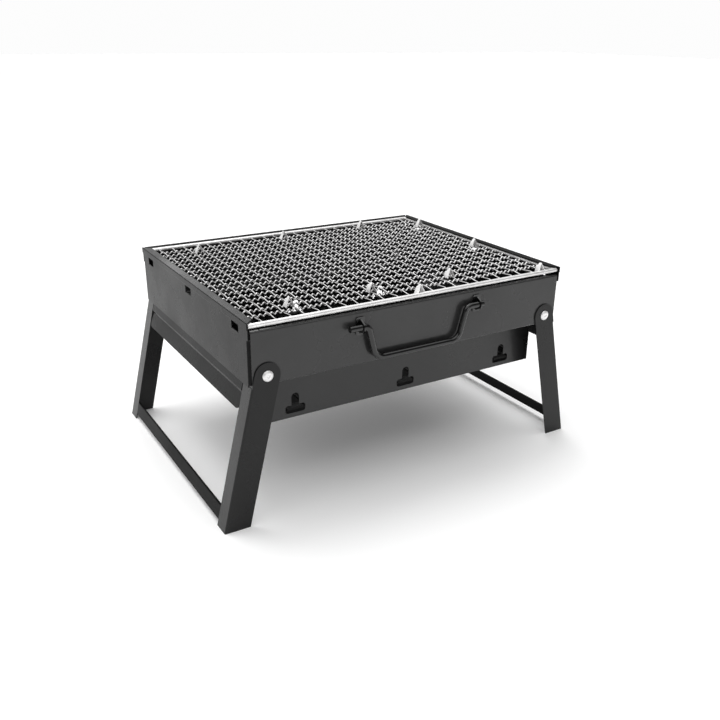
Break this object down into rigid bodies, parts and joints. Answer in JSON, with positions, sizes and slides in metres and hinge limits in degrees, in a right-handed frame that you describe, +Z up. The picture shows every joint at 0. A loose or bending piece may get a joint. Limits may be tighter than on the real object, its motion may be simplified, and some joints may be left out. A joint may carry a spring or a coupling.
{
  "type": "folding camp grill",
  "caption": "Folding tabletop charcoal grill: sheet-metal body with raised ends, hanging vented firebox, splayed folding leg frames, bail handle and woven wire cooking grate.",
  "frame": {"origin": "on the ground under the middle of the outline of everything, handle included", "axes": "+X along the length to the right as seen from the handle side, +Y from the handle side to the back, +Z up"},
  "size_m": [0.41, 0.292, 0.2],
  "materials": {
    "body_paint": "semi-gloss black enamel",
    "leg_paint": "semi-gloss black enamel",
    "firebox_paint": "satin black enamel",
    "charcoal_grate_paint": "matt black enamel",
    "handle_paint": "gloss black enamel",
    "bracket_paint": "gloss black enamel, worn bright at the edges",
    "rivet_steel": "bright zinc",
    "grate_wire": "bright plated wire",
    "clip_steel": "bright plated sheet"
  },
  "bodies": {
    "outer_frame": {"front_panel": "body_paint", "back_panel": "body_paint", "left_end_panel": "body_paint", "right_end_panel": "body_paint", "left_end_apron": "body_paint", "right_end_apron": "body_paint", "left_handle_bracket": "bracket_paint", "right_handle_bracket": "bracket_paint", "left_front_pivot_rivet": "rivet_steel", "left_back_pivot_rivet": "rivet_steel", "right_front_pivot_rivet": "rivet_steel", "right_back_pivot_rivet": "rivet_steel", "pivot_washers": "rivet_steel"},
    "left_leg_frame": {"left_front_leg": "leg_paint", "left_back_leg": "leg_paint", "left_crossbar": "leg_paint"},
    "right_leg_frame": {"right_front_leg": "leg_paint", "right_back_leg": "leg_paint", "right_crossbar": "leg_paint"},
    "firebox": {"firebox_front_wall": "firebox_paint", "firebox_back_wall": "firebox_paint", "firebox_left_wall": "firebox_paint", "firebox_right_wall": "firebox_paint", "firebox_floor": "firebox_paint", "charcoal_grate_frame": "charcoal_grate_paint", "charcoal_grate_bars": "charcoal_grate_paint"},
    "handle_bail": {"handle": "handle_paint"},
    "cooking_grate": {"cooking_grate_frame": "grate_wire", "cooking_grate_cross_wires": "grate_wire", "cooking_grate_long_wires": "grate_wire", "cooking_grate_clips": "clip_steel"}
  },
  "joints": [
    {"name": "left_leg_fold", "type": "hinge", "parent": "outer_frame", "child": "left_leg_frame", "pos_m": [-0.158, 0.00305, 0.1445], "axis": [0, -1, 0], "range_deg": [0, 103.4]},
    {"name": "right_leg_fold", "type": "hinge", "parent": "outer_frame", "child": "right_leg_frame", "pos_m": [0.158, 0.00305, 0.1445], "axis": [0, 1, 0], "range_deg": [0, 103.4]},
    {"name": "firebox_lift", "type": "slide", "parent": "outer_frame", "child": "firebox", "axis": [0, 0, 1], "range_m": [0, 0.0472]},
    {"name": "handle_swing", "type": "hinge", "parent": "outer_frame", "child": "handle_bail", "pos_m": [0, -0.14145, 0.173], "axis": [-1, 0, 0], "range_deg": [0, 105]},
    {"name": "cooking_grate_slide", "type": "slide", "parent": "outer_frame", "child": "cooking_grate", "axis": [0, -1, 0], "range_m": [0, 0.2]}
  ],
  "couplings": [
    {"joint": "right_leg_fold", "follows": "left_leg_fold", "ratio": 1},
    {"joint": "firebox_lift", "follows": "left_leg_fold", "m_per_rad": 0.02604}
  ]
}
